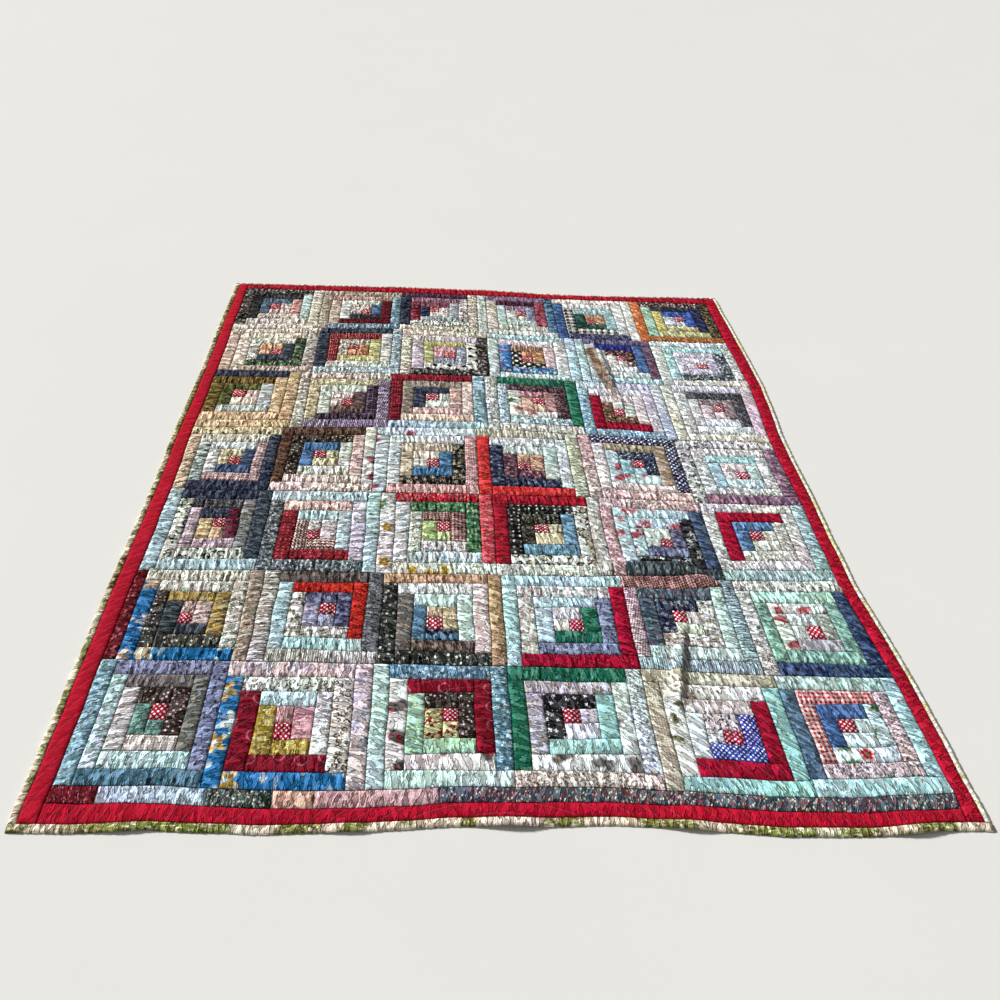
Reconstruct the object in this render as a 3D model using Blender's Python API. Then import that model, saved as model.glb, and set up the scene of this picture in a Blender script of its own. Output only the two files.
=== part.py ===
"""A scrap log cabin quilt lying on a floor.

Forty-two log cabin blocks in seven rows of six make the patchwork. A filler strip evens out row 6,
six scraps make a strip along the foot, a border frames them, and a binding closes the edge.
Each of these pieces is one solid with puffed logs, drawn in along its seams.

Lengths are in metres and +Z is up. While the quilt is laid out, x runs to the right and y towards
the far edge. At the end the whole quilt is moved so that its origin is under its middle.
"""

import math

import bmesh
import bpy
from mathutils import Vector
from mathutils.geometry import delaunay_2d_cdt

GAP = 0.0003               # left between neighbouring pieces
SEAM_THICKNESS = 0.004     # top, wadding and backing, pressed together along a seam
PUFF = 0.0032              # how much higher the middle of a log or a strip stands
EDGE_THICKNESS = 0.0022    # what is left at the outer edge of the binding
RIDGE_INSET = 0.5          # from a log's end to the end of its crown, in log widths
FOLD_STEPS = 2             # points per log width where a block is folded
FAN = 0.016                # how much longer the quilt gets per metre to the right

# The seams that run across the quilt, from the far edge to the foot: how far up each lies at these
# places from left to right, where the patchwork ends at its left and right, and how wide the border
# is beside both ends.
SEAM_PLACES = (-0.9, -0.6, -0.3, 0.0, 0.3, 0.6, 0.9)
CROSS_SEAMS = (
    # y at the places, left, right, left border, right border
    ((1.076, 1.076, 1.077, 1.070, 1.057, 1.055, 1.050), -0.9015, 0.9005, 0.031, 0.039),
    ((0.762, 0.785, 0.797, 0.780, 0.757, 0.750, 0.748), -0.8975, 0.8995, 0.036, 0.046),
    ((0.494, 0.495, 0.494, 0.490, 0.472, 0.461, 0.461), -0.8945, 0.9075, 0.037, 0.040),
    ((0.170, 0.179, 0.189, 0.189, 0.170, 0.150, 0.148), -0.8995, 0.8815, 0.037, 0.040),
    ((-0.117, -0.120, -0.121, -0.121, -0.127, -0.143, -0.148), -0.8945, 0.8835, 0.039, 0.035),
    ((-0.429, -0.427, -0.430, -0.434, -0.434, -0.443, -0.441), -0.8995, 0.8755, 0.040, 0.037),
    ((-0.705, -0.709, -0.714, -0.719, -0.722, -0.738, -0.744), -0.9025, 0.8975, 0.038, 0.035),
    ((-1.012, -1.020, -1.024, -1.026, -1.028, -1.031, -1.030), -0.9035, 0.9045, 0.038, 0.033),
    ((-1.048, -1.058, -1.061, -1.060, -1.059, -1.061, -1.063), -0.9045, 0.9015, 0.037, 0.037),
)
SEAM_AT_FOOT = 7           # the seam between the last blocks and the strip along the foot
FAR_EDGE = (1.113, 1.115, 1.117, 1.113, 1.090, 1.091, 1.098)   # where the far border ends
NEAR_EDGE = (-1.091,) * len(SEAM_PLACES)                        # and the near one
LEFT_BINDING = 0.0155
RIGHT_BINDING = 0.0115
FAR_BINDING = 0.009
NEAR_BINDING = 0.018

# The seams between the blocks of each row, left to right.
BLOCK_SEAMS = (
    (-0.6045, -0.3105, -0.0215, 0.2735, 0.5805),
    (-0.5885, -0.2985, 0.0065, 0.3255, 0.6045),
    (-0.6195, -0.3225, -0.0125, 0.2955, 0.5855),
    (-0.6355, -0.3525, -0.0495, 0.2655, 0.5685),
    (-0.6185, -0.3225, -0.0135, 0.2865, 0.5765),
    (-0.5915, -0.2995, -0.0055, 0.3015, 0.5915),
    (-0.6235, -0.3065, -0.0065, 0.2995, 0.6095),
)
FILLER_ROW = 6             # the row that starts with a filler strip
FILLER_SEAM = -0.8735
SHORT_BLOCK = (3, 1)       # row and place of the block with one dark log left out
SHORT_LOG = "left"

# The corner that each block's dark logs point to, such as "TL" for the top left.
DARK_CORNERS = (
    ("TL", "BR", "TL", "TR", "BL", "TR"),
    ("BR", "TL", "BR", "BL", "TR", "BR"),
    ("TL", "BR", "TL", "TR", "BL", "TR"),
    ("BR", "TL", "BR", "BL", "TR", "BR"),
    ("TR", "BL", "TR", "TL", "BR", "TL"),
    ("BL", "TR", "BL", "BR", "TL", "BR"),
    ("TR", "BL", "TR", "TL", "BR", "TL"),
)
# The order in which logs are sewn round the centre, two light ones and then two dark ones.
SEWING_ORDER = {
    "TR": ("bottom", "left", "top", "right"),
    "TL": ("right", "bottom", "left", "top"),
    "BL": ("top", "right", "bottom", "left"),
    "BR": ("left", "top", "right", "bottom"),
}
DARK_ROUNDS = 3            # a fourth round has its two light logs alone

# The colour family of each block's outer dark logs, a letter for each block.
BLOCK_COLOURS = ("KBBBBN", "NBKAPW", "BPRGBP", "BNRRBP", "BBRRBW", "BKNRNB", "PBBGAA")
COLOUR_NAMES = {
    "A": ("aqua_patchwork", (0.55, 0.68, 0.68)),
    "B": ("blue_patchwork", (0.34, 0.41, 0.55)),
    "G": ("green_patchwork", (0.30, 0.48, 0.38)),
    "K": ("black_patchwork", (0.27, 0.26, 0.27)),
    "N": ("brown_patchwork", (0.42, 0.34, 0.30)),
    "P": ("plum_patchwork", (0.47, 0.40, 0.49)),
    "R": ("red_patchwork", (0.55, 0.20, 0.20)),
    "W": ("white_patchwork", (0.74, 0.72, 0.72)),
}

# The scraps of the strip along the foot, left to right: its name, where it ends, its colour.
FOOT_SCRAPS = (
    ("foot_dark_red", -0.8155, (0.33, 0.05, 0.07)),
    ("foot_pale_blue", -0.6085, (0.62, 0.70, 0.76)),
    ("foot_green", -0.4835, (0.16, 0.25, 0.17)),
    ("foot_peach", -0.4020, (0.75, 0.58, 0.48)),
    ("foot_lavender", -0.1605, (0.64, 0.56, 0.63)),
    ("foot_dark_floral", None, (0.22, 0.24, 0.28)),
)

# How far the foot bends in from a straight line, and the width of the quilt that bends with it.
FOOT_BEND = (
    # x, bend
    (-0.85, 0.0),
    (-0.70, 0.006),
    (-0.52, -0.002),
    (-0.30, 0.001),
    (-0.14, 0.012),
    (0.18, 0.014),
    (0.32, 0.006),
    (0.42, 0.0),
    (0.52, -0.010),
    (0.70, -0.009),
    (0.85, 0.0),
)
BEND_DEPTH = 0.40

# The folds in which the cloth stands off the floor: a crest from one point to another, its height
# at either end and how far it slopes down on its near or left side and on its far or right side.
FOLDS = (
    # x, y, end x, end y, height, end height, near slope, far slope
    (0.235, -0.398, 0.330, -0.392, 0.006, 0.024, 0.055, 0.024),
    (0.330, -0.392, 0.470, -0.408, 0.024, 0.028, 0.065, 0.022),
    (0.470, -0.408, 0.560, -0.480, 0.028, 0.010, 0.065, 0.024),
    (0.393, 0.758, 0.412, 0.541, 0.004, 0.012, 0.026, 0.020),
    (0.412, 0.541, 0.433, 0.330, 0.012, 0.004, 0.026, 0.020),
    (0.425, -0.600, 0.393, -0.722, 0.006, 0.015, 0.026, 0.020),
    (0.393, -0.722, 0.367, -0.830, 0.015, 0.005, 0.026, 0.020),
)
# The low swells where the near edge doesn't lie quite flat.
SWELLS = (
    # x, y, height, radius
    (-0.74, -1.13, 0.007, 0.085),
    (-0.33, -1.13, 0.006, 0.075),
    (-0.02, -1.12, 0.010, 0.095),
    (0.33, -1.12, 0.007, 0.080),
    (0.80, -1.14, 0.007, 0.085),
)
FLAT_BELOW = 0.0004        # a lift smaller than this is none
SAME_PLACE = 0.00001       # points of a block this close, in log widths, are one


def colour_family(letter):
    name, colour = COLOUR_NAMES[letter]
    return cloth(name, colour)


def cloth(name, colour):
    """A washed cotton material, made once for each name."""
    material = bpy.data.materials.get(name)
    if material:
        return material
    material = bpy.data.materials.new(name)
    material.use_nodes = True
    shader = material.node_tree.nodes["Principled BSDF"]
    shader.inputs["Base Color"].default_value = (*colour, 1.0)
    shader.inputs["Roughness"].default_value = 0.9
    shader.inputs["Metallic"].default_value = 0.0
    return material


def between(value, table, column):
    """The value in this column of a table, read between its rows by the first column."""
    rows = sorted(table)
    if value <= rows[0][0]:
        return rows[0][column]
    for low, high in zip(rows, rows[1:]):
        if value <= high[0]:
            part = (value - low[0]) / (high[0] - low[0])
            return low[column] + part * (high[column] - low[column])
    return rows[-1][column]


def course(line, x):
    """How far up a line across the quilt lies at this x."""
    return between(x, list(zip(SEAM_PLACES, line)), 1)


def seam(number, x):
    return course(CROSS_SEAMS[number][0], x)


def side_of_patchwork(side):
    """Where the patchwork ends on this side, and the border's width, at the end of each seam."""
    rows = []
    for number, (_, left, right, left_border, right_border) in enumerate(CROSS_SEAMS):
        x, border = (left, left_border) if side == "left" else (right, right_border)
        rows.append((seam(number, x), x, border))
    return rows


def patchwork_edge(y, side):
    return between(y, side_of_patchwork(side), 1)


def border_edge(y, side):
    outward = -1 if side == "left" else 1
    return patchwork_edge(y, side) + outward * between(y, side_of_patchwork(side), 2)


def laid(x, y):
    """Where a point of the straight pattern lies on the floor."""
    share = max(0.0, 1.0 - (y - NEAR_EDGE[0] + NEAR_BINDING) / BEND_DEPTH)
    return x, y * (1.0 + FAN * x) + share * between(x, FOOT_BEND, 1)


def falloff(distance, reach):
    """A soft slope from 1 on a crest to 0 at its foot."""
    if distance >= reach:
        return 0.0
    return 0.5 + 0.5 * math.cos(math.pi * distance / reach)


def lift(x, y):
    """How far the underside stands off the floor."""
    height = 0.0
    for start_x, start_y, end_x, end_y, start_height, end_height, near, far in FOLDS:
        start = Vector((start_x, start_y))
        along = Vector((end_x, end_y)) - start
        offset = Vector((x, y)) - start
        place = min(1.0, max(0.0, offset.dot(along) / along.length_squared))
        crest = start_height + place * (end_height - start_height)
        beside = along.cross(offset)
        reach = near if beside < 0 else far
        distance = (offset - place * along).length
        height = max(height, crest * falloff(distance, reach))
    for swell_x, swell_y, swell_height, radius in SWELLS:
        distance = math.hypot(x - swell_x, y - swell_y)
        height += swell_height * falloff(distance, radius)
    return height if height > FLAT_BELOW else 0.0


def new_piece(name, mesh, material):
    """Names a finished mesh, faces it outwards and gives it its cloth."""
    bmesh.ops.recalc_face_normals(mesh, faces=mesh.faces)
    data = bpy.data.meshes.new(name)
    mesh.to_mesh(data)
    mesh.free()
    data.materials.append(material)
    piece = bpy.data.objects.new(name, data)
    bpy.context.collection.objects.link(piece)
    return piece


def sewn_logs(corner, left_out=None):
    """The rectangles of a block's logs in log widths, centre first, as each is sewn to the last."""
    left, bottom, right, top = 0, 0, 1, 1
    logs = [(left, bottom, right, top)]
    order = SEWING_ORDER[corner]
    sides = order * DARK_ROUNDS + order[:2]
    last_round = len(order) * (DARK_ROUNDS - 1)
    for number, side in enumerate(sides):
        dark_of_last_round = last_round + 2 <= number < last_round + 4
        if side == left_out and dark_of_last_round:
            continue
        if side == "left":
            logs.append((left - 1, bottom, left, top))
            left -= 1
        elif side == "right":
            logs.append((right, bottom, right + 1, top))
            right += 1
        elif side == "bottom":
            logs.append((left, bottom - 1, right, bottom))
            bottom -= 1
        else:
            logs.append((left, top, right, top + 1))
            top += 1
    return logs, (left, bottom, right, top)


def crown_of(log):
    """The two ends of the crown along the middle of a log."""
    left, bottom, right, top = log
    middle = (left + right) / 2, (bottom + top) / 2
    if right - left >= top - bottom:
        return (left + RIDGE_INSET, middle[1]), (right - RIDGE_INSET, middle[1])
    return (middle[0], bottom + RIDGE_INSET), (middle[0], top - RIDGE_INSET)


def log_points(logs):
    """The corners of the logs, low, and the ends of their crowns, high."""
    points = {}
    for left, bottom, right, top in logs:
        for corner in ((left, bottom), (right, bottom), (right, top), (left, top)):
            points[corner] = 0.0
    for log in logs:
        for end in crown_of(log):
            points[end] = PUFF
    return points


def folded_points(logs):
    """An even lattice over the logs, each point as high as it stands on its own log."""
    points = {}
    for left, bottom, right, top in logs:
        for column in range((right - left) * FOLD_STEPS + 1):
            for row in range((top - bottom) * FOLD_STEPS + 1):
                x = left + column / FOLD_STEPS
                y = bottom + row / FOLD_STEPS
                on_seam = x in (left, right) or y in (bottom, top)
                points[(x, y)] = 0.0 if on_seam else PUFF
    return points


def seam_lines(logs, points):
    """Pairs of neighbouring points along every seam and crown, by their places in the list."""
    places = {point: place for place, point in enumerate(points)}
    lines = set()
    for log in logs:
        left, bottom, right, top = log
        sides = [((left, bottom), (right, bottom)), ((left, top), (right, top))]
        sides += [((left, bottom), (left, top)), ((right, bottom), (right, top)), crown_of(log)]
        for start, end in sides:
            on_line = [
                point for point in points
                if min(start[0], end[0]) <= point[0] <= max(start[0], end[0])
                and min(start[1], end[1]) <= point[1] <= max(start[1], end[1])
            ]
            on_line.sort()
            lines.update((places[a], places[b]) for a, b in zip(on_line, on_line[1:]))
    return sorted(lines)


def rim_order(points, box):
    """The points on the edge of the box, in order round it."""
    left, bottom, right, top = box
    near = sorted(p for p in points if p[1] == bottom)
    off = sorted((p for p in points if p[0] == right and p[1] > bottom), key=lambda p: p[1])
    far = sorted((p for p in points if p[1] == top and p[0] < right), reverse=True)
    home = sorted((p for p in points if p[0] == left and bottom < p[1] < top), key=lambda p: -p[1])
    return near + off + far + home


def bends_across():
    """The x at which seams across the quilt or its near edge change their slope."""
    return sorted({*SEAM_PLACES, *(x for x, _ in FOOT_BEND)})


def make_block(name, row, near_x, far_x, corner, material, left_out=None):
    """A log cabin block between two seams across the quilt and two x, near and far."""
    logs, box = sewn_logs(corner, left_out)
    left, bottom, right, top = box
    depth = seam(row, far_x[0]) - seam(row + 1, near_x[0])

    def on_floor(point):
        across = (point[0] - left) / (right - left)
        up = (point[1] - bottom) / (top - bottom)
        inset_x = 0.5 * GAP / (near_x[1] - near_x[0])
        inset_y = 0.5 * GAP / depth
        across = inset_x + across * (1.0 - 2.0 * inset_x)
        up = inset_y + up * (1.0 - 2.0 * inset_y)
        near = near_x[0] + across * (near_x[1] - near_x[0])
        far = far_x[0] + across * (far_x[1] - far_x[0])
        x = near + up * (far - near)
        return laid(x, seam(row + 1, x) + up * (seam(row, x) - seam(row + 1, x)))

    lattice = folded_points(logs)
    folded = any(lift(*on_floor(point)) > 0.0 for point in lattice)
    points = lattice if folded else log_points(logs)
    for edge, ends in ((bottom, near_x), (top, far_x)):
        for x in bends_across():
            across = (x - ends[0]) / (ends[1] - ends[0])
            if 0.01 < across < 0.99:
                points.setdefault((left + across * (right - left), edge), 0.0)
    triangles = fill(points, seam_lines(logs, points))
    rim = rim_order(points, box)

    mesh = bmesh.new()
    tops = {}
    undersides = {}
    for point, puff in points.items():
        x, y = on_floor(point)
        floor = lift(x, y)
        tops[point] = mesh.verts.new((x, y, floor + SEAM_THICKNESS + puff))
        if folded or point in rim:
            undersides[point] = mesh.verts.new((x, y, floor))
    for triangle in triangles:
        mesh.faces.new([tops[point] for point in triangle])
    if not folded:
        triangles = fill({point: 0.0 for point in rim}, [])
    for triangle in triangles:
        mesh.faces.new([undersides[point] for point in reversed(triangle)])
    for first, second in zip(rim, rim[1:] + rim[:1]):
        mesh.faces.new((undersides[first], undersides[second], tops[second], tops[first]))
    return new_piece(name, mesh, material)


def fill(points, lines):
    """Triangles over the points, none of which crosses a line."""
    places = list(points)
    flat = [Vector(place) for place in places]
    _, _, triangles, origins, _, _ = delaunay_2d_cdt(flat, lines, [], 0, SAME_PLACE)
    found = [places[origin[0]] for origin in origins]
    return [[found[index] for index in triangle] for triangle in triangles]


def make_strip(name, inner, outer, material, profile):
    """A long piece between two lines of points, with this profile over its width.

    The profile is a list of places across the strip, 0 at the inner line and 1 at the outer one,
    each with the height of the cloth there. The lines run the same way and match point for point.
    """
    mesh = bmesh.new()
    rings = []
    for (inner_x, inner_y), (outer_x, outer_y) in zip(inner, outer):
        width = math.hypot(outer_x - inner_x, outer_y - inner_y)
        ring = []
        for place, height in profile:
            part = 0.5 * GAP / width + place * (1.0 - GAP / width)
            x, y = laid(inner_x + part * (outer_x - inner_x), inner_y + part * (outer_y - inner_y))
            ring.append(mesh.verts.new((x, y, lift(x, y) + height)))
        for vertex in (ring[-1], ring[0]):
            x, y, _ = vertex.co
            ring.append(mesh.verts.new((x, y, lift(x, y))))
        rings.append(ring)
    for ring, following in zip(rings, rings[1:]):
        for place in range(len(ring)):
            onward = (place + 1) % len(ring)
            mesh.faces.new((ring[place], following[place], following[onward], ring[onward]))
    mesh.faces.new(rings[0])
    mesh.faces.new(list(reversed(rings[-1])))
    return new_piece(name, mesh, material)


FLAT_STRIP = ((0.0, SEAM_THICKNESS), (0.5, SEAM_THICKNESS + PUFF), (1.0, SEAM_THICKNESS))
BINDING_ROLL = (
    (0.0, SEAM_THICKNESS),
    (0.4, SEAM_THICKNESS + 0.6 * PUFF),
    (0.85, SEAM_THICKNESS),
    (1.0, EDGE_THICKNESS),
)


def stations(start, end, step, breaks=()):
    """Even steps from one value to another, with the breaks between them added."""
    count = max(1, round(abs(end - start) / step))
    kept = {start, end, *(value for value in breaks if min(start, end) < value < max(start, end))}
    evenly = {start + (end - start) * number / count for number in range(1, count)}
    kept |= {value for value in evenly if all(abs(value - other) > step / 4 for other in kept)}
    return sorted(kept, reverse=end < start)


def across_quilt(name, inner, outer, start, end, material, profile=FLAT_STRIP, step=0.05):
    """A strip between two lines from left to right, each a y for every x, with ends read at a y."""
    lines = []
    left, right = start(inner(SEAM_PLACES[0])), end(inner(SEAM_PLACES[-1]))
    places = stations(left, right, step, bends_across())[1:-1]
    for line in (inner, outer):
        left, right = start(line(SEAM_PLACES[0])), end(line(SEAM_PLACES[-1]))
        lines.append([(x, line(x)) for x in (left + GAP / 2, *places, right - GAP / 2)])
    return make_strip(name, *lines, material, profile)


def down_quilt(
    name, side, inner_edge, outer_edge, start, end, material, profile=FLAT_STRIP, step=0.15
):
    """A strip that runs from the far end to the near one between two edges read at each y."""
    breaks = [y for y, _, _ in side_of_patchwork(side)]
    places = stations(start - GAP / 2, end + GAP / 2, step, breaks)
    inner = [(inner_edge(y), y) for y in places]
    outer = [(outer_edge(y), y) for y in places]
    return make_strip(name, inner, outer, material, profile)


def make_blocks():
    for row, (seams, corners) in enumerate(zip(BLOCK_SEAMS, DARK_CORNERS)):
        far_x, near_x = [
            [CROSS_SEAMS[number][1], *seams, CROSS_SEAMS[number][2]] for number in (row, row + 1)
        ]
        if row + 1 == FILLER_ROW:
            far_x[0] = near_x[0] = FILLER_SEAM
        for place, corner in enumerate(corners):
            make_block(
                f"block_r{row + 1}_c{place + 1}",
                row,
                near_x[place:place + 2],
                far_x[place:place + 2],
                corner,
                colour_family(BLOCK_COLOURS[row][place]),
                SHORT_LOG if (row + 1, place + 1) == SHORT_BLOCK else None,
            )


def make_filler_strip():
    lines = []
    for edge in (lambda y: FILLER_SEAM, lambda y: patchwork_edge(y, "left")):
        far, near = [seam(n, edge(seam(n, FILLER_SEAM))) for n in (FILLER_ROW - 1, FILLER_ROW)]
        places = stations(far - GAP / 2, near + GAP / 2, 0.15)
        lines.append([(edge(y), y) for y in places])
    make_strip("filler_strip", *lines, cloth("dark_red_print", (0.33, 0.05, 0.07)), FLAT_STRIP)


def make_foot_strip():
    ends = [lambda y, x=x: x for _, x, _ in FOOT_SCRAPS[:-1]]
    ends.append(lambda y: patchwork_edge(y, "right"))
    starts = [lambda y: patchwork_edge(y, "left"), *ends[:-1]]
    for (name, _, colour), start, end in zip(FOOT_SCRAPS, starts, ends):
        across_quilt(
            name,
            lambda x: seam(SEAM_AT_FOOT, x),
            lambda x: seam(SEAM_AT_FOOT + 1, x),
            start,
            end,
            cloth(name + "_cloth", colour),
        )


def make_border():
    red = cloth("red_border_cloth", (0.60, 0.02, 0.06))
    print_cloth = cloth("dark_red_print", (0.33, 0.05, 0.07))
    for side, place in (("left", SEAM_PLACES[0]), ("right", SEAM_PLACES[-1])):
        down_quilt(
            f"border_{side}",
            side,
            lambda y: patchwork_edge(y, side),
            lambda y: border_edge(y, side),
            course(FAR_EDGE, place),
            course(NEAR_EDGE, place),
            red,
        )
    for name, number, line, material in (
        ("border_far", 0, FAR_EDGE, print_cloth),
        ("border_near", SEAM_AT_FOOT + 1, NEAR_EDGE, red),
    ):
        across_quilt(
            name,
            lambda x: seam(number, x),
            lambda x: course(line, x),
            lambda y: patchwork_edge(y, "left"),
            lambda y: patchwork_edge(y, "right"),
            material,
        )


def make_binding():
    print_cloth = cloth("leaf_print_binding", (0.78, 0.76, 0.62))
    for side, place, outward in (
        ("left", SEAM_PLACES[0], -LEFT_BINDING),
        ("right", SEAM_PLACES[-1], RIGHT_BINDING),
    ):
        down_quilt(
            f"binding_{side}",
            side,
            lambda y: border_edge(y, side),
            lambda y: border_edge(y, side) + outward,
            course(FAR_EDGE, place),
            course(NEAR_EDGE, place),
            print_cloth,
            BINDING_ROLL,
        )
    for name, line, outward in (
        ("binding_far", FAR_EDGE, FAR_BINDING),
        ("binding_near", NEAR_EDGE, -NEAR_BINDING),
    ):
        across_quilt(
            name,
            lambda x: course(line, x),
            lambda x: course(line, x) + outward,
            lambda y: border_edge(y, "left") - LEFT_BINDING,
            lambda y: border_edge(y, "right") + RIGHT_BINDING,
            print_cloth,
            BINDING_ROLL,
        )


def centre_over_origin():
    """Moves the laid-out quilt so that the middle of its outline is over the origin."""
    pieces = [obj for obj in bpy.data.objects if obj.type == "MESH"]
    corners = [vertex.co for piece in pieces for vertex in piece.data.vertices]
    middle_x = (min(c.x for c in corners) + max(c.x for c in corners)) / 2
    middle_y = (min(c.y for c in corners) + max(c.y for c in corners)) / 2
    for piece in pieces:
        for vertex in piece.data.vertices:
            vertex.co.x -= middle_x
            vertex.co.y -= middle_y


for leftover in list(bpy.data.objects):
    bpy.data.objects.remove(leftover, do_unlink=True)
make_blocks()
make_filler_strip()
make_foot_strip()
make_border()
make_binding()
centre_over_origin()
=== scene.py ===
import math

import bpy
import numpy as np
from mathutils import Euler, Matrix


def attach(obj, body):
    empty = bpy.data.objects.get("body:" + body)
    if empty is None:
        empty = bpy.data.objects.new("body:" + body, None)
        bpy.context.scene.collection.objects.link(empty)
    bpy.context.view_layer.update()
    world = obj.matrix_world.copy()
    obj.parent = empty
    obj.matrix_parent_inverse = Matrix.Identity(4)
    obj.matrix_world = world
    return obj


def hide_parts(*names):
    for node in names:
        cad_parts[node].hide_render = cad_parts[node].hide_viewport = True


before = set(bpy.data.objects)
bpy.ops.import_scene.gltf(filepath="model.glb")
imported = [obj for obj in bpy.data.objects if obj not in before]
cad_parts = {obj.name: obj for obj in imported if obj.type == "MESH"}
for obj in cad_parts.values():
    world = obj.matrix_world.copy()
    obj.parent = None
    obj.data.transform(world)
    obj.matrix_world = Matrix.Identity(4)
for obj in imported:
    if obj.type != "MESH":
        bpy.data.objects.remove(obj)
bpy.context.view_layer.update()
bpy.ops.object.select_all(action="DESELECT")
bpy.context.tool_settings.mesh_select_mode = (False, False, True)
print("frame loaded:", len(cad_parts), "solids")


# ---- the lie of the quilt: x to the right, y towards the far edge, in metres
patchwork = {
    # seams across the quilt: y at these x, patchwork left, patchwork right, left and right border
    "places": (-0.9, -0.6, -0.3, 0.0, 0.3, 0.6, 0.9),
    "crossSeams": (
        ((1.076, 1.076, 1.077, 1.070, 1.057, 1.055, 1.050), -0.9015, 0.9005, 0.031, 0.039),
        ((0.762, 0.785, 0.797, 0.780, 0.757, 0.750, 0.748), -0.8975, 0.8995, 0.036, 0.046),
        ((0.494, 0.495, 0.494, 0.490, 0.472, 0.461, 0.461), -0.8945, 0.9075, 0.037, 0.040),
        ((0.170, 0.179, 0.189, 0.189, 0.170, 0.150, 0.148), -0.8995, 0.8815, 0.037, 0.040),
        ((-0.117, -0.120, -0.121, -0.121, -0.127, -0.143, -0.148), -0.8945, 0.8835, 0.039, 0.035),
        ((-0.429, -0.427, -0.430, -0.434, -0.434, -0.443, -0.441), -0.8995, 0.8755, 0.040, 0.037),
        ((-0.705, -0.709, -0.714, -0.719, -0.722, -0.738, -0.744), -0.9025, 0.8975, 0.038, 0.035),
        ((-1.012, -1.020, -1.024, -1.026, -1.028, -1.031, -1.030), -0.9035, 0.9045, 0.038, 0.033),
        ((-1.048, -1.058, -1.061, -1.060, -1.059, -1.061, -1.063), -0.9045, 0.9015, 0.037, 0.037),
    ),
    # seams between the blocks of each row
    "blockSeams": (
        (-0.6045, -0.3105, -0.0215, 0.2735, 0.5805),
        (-0.5885, -0.2985, 0.0065, 0.3255, 0.6045),
        (-0.6195, -0.3225, -0.0125, 0.2955, 0.5855),
        (-0.6355, -0.3525, -0.0495, 0.2655, 0.5685),
        (-0.6185, -0.3225, -0.0135, 0.2865, 0.5765),
        (-0.5915, -0.2995, -0.0055, 0.3015, 0.5915),
        (-0.6235, -0.3065, -0.0065, 0.2995, 0.6095),
    ),
    "fillerRow": 6,
    "fillerSeam": -0.8735,
    "fillerSize": (0.277, -0.57),    # length, and the y at which its width is taken
    "shortBlock": (3, 1),        # this block has no outermost log on its left
    "footSeam": 7,               # the seam between the last blocks and the strip along the foot
    "farEdge": (1.113, 1.115, 1.117, 1.113, 1.090, 1.091, 1.098),
    "nearEdge": (-1.091,) * 7,
    "bindings": {"left": 0.0155, "right": 0.0115, "far": 0.009, "near": 0.018},
    "middle": (0.0010, -0.0033),  # the place that lies over the origin
    "gap": 0.0003,
}

# soft noise is given as its size either way, a shift and a seed
floorLie = {
    "fan": 0.016,                # how much longer the quilt gets per metre to the right
    "bendFrom": -1.109,
    "bendDepth": 0.40,
    "bend": (                    # x, how far the near edge bends in
        (-0.85, 0.0), (-0.70, 0.006), (-0.52, -0.002), (-0.30, 0.001), (-0.14, 0.012),
        (0.18, 0.014), (0.32, 0.006), (0.42, 0.0), (0.52, -0.010), (0.70, -0.009), (0.85, 0.0),
    ),
    # crests of the folds: x, y, end x, end y, height, end height, near slope, far slope
    "folds": (
        (0.235, -0.398, 0.330, -0.392, 0.006, 0.024, 0.055, 0.024),
        (0.330, -0.392, 0.470, -0.408, 0.024, 0.028, 0.065, 0.022),
        (0.470, -0.408, 0.560, -0.480, 0.028, 0.010, 0.065, 0.024),
        (0.393, 0.758, 0.412, 0.541, 0.004, 0.012, 0.026, 0.020),
        (0.412, 0.541, 0.433, 0.330, 0.012, 0.004, 0.026, 0.020),
        (0.425, -0.600, 0.393, -0.722, 0.006, 0.015, 0.026, 0.020),
        (0.393, -0.722, 0.367, -0.830, 0.015, 0.005, 0.026, 0.020),
    ),
    # swells of the near edge: x, y, height, radius
    "swells": (
        (-0.74, -1.13, 0.007, 0.085), (-0.33, -1.13, 0.006, 0.075), (-0.02, -1.12, 0.010, 0.095),
        (0.33, -1.12, 0.007, 0.080), (0.80, -1.14, 0.007, 0.085),
    ),
    # deep shade beside the folds: x, y, end x, end y, half width, how deep, below 0 where it is black
    "shades": (
        (0.373, 0.680, 0.387, 0.580, 0.030, 1.0), (0.387, 0.580, 0.408, 0.450, 0.030, 0.9),
        (0.408, 0.450, 0.416, 0.380, 0.020, 0.6), (0.400, -0.400, 0.570, -0.420, 0.032, -0.40),
        (0.245, -0.270, 0.245, -0.400, 0.016, 0.55), (0.285, -0.235, 0.330, -0.330, 0.012, 0.45),
        (0.426, -0.650, 0.408, -0.718, 0.014, 0.60), (0.400, -0.735, 0.388, -0.765, 0.007, 0.45),
        (0.390, -0.770, 0.398, -0.806, 0.020, 0.50), (0.388, -0.630, 0.373, -0.700, 0.017, 0.45),
        (0.318, -0.748, 0.352, -0.796, 0.020, 0.36), (0.028, -0.540, 0.036, -0.690, 0.012, -0.35),
    ),
    "shadeCore": 1.5,            # over 1, the middle of a shade is even
    "shadeStray": (0.012, (0.03, 0.03, 15, 41)),
    "waver": 0.0020,             # how far seams stray from a straight line
    "waverX": (0.07, 0.07, 40, 11),
    "waverY": (0.07, 0.07, 90, 12),
    "flatBelow": 0.0004,
}


def softNoise(x, y, sizeX, sizeY, shift, seed):
    # smooth random hills from 0 to 1
    hills = 256
    table = np.random.default_rng(seed).random((hills, hills))
    u, v = x / sizeX + shift, y / sizeY + shift
    column, row = np.floor(u).astype(int), np.floor(v).astype(int)
    across, up = [part * part * (3 - 2 * part) for part in (u - column, v - row)]

    def beside(right, above):
        return table[(column + right) % hills, (row + above) % hills]

    near = beside(0, 0) * (1 - across) + beside(1, 0) * across
    far = beside(0, 1) * (1 - across) + beside(1, 1) * across
    return near * (1 - up) + far * up


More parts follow.
